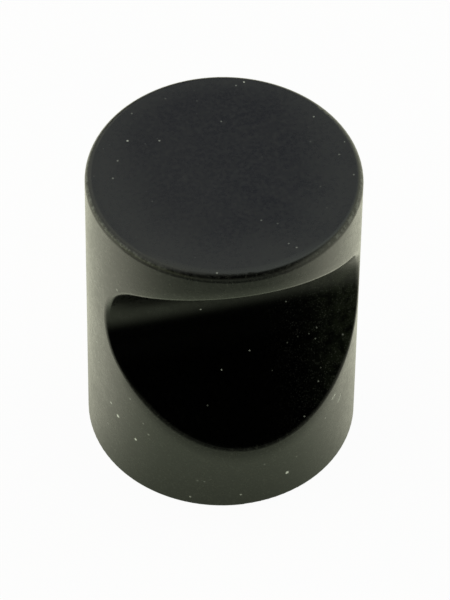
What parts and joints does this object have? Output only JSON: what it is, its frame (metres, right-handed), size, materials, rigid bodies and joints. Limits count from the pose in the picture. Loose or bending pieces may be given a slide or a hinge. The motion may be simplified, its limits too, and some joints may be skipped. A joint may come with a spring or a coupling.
{
  "type": "cabinet knob",
  "caption": "Round cabinet knob in satin black, with a flat front face, a finger scoop cut across its side and a threaded hole in its back.",
  "frame": {"origin": "middle of the flat back, which lies against the door or drawer, on the axis of the threaded hole", "axes": "+Z runs along the knob's axis from the back to the front face, and the finger scoop opens towards -Y"},
  "size_m": [0.02, 0.02, 0.0254],
  "materials": {
    "black_finish": "satin"
  },
  "bodies": {
    "root": {"knob": "black_finish"}
  },
  "joints": []
}
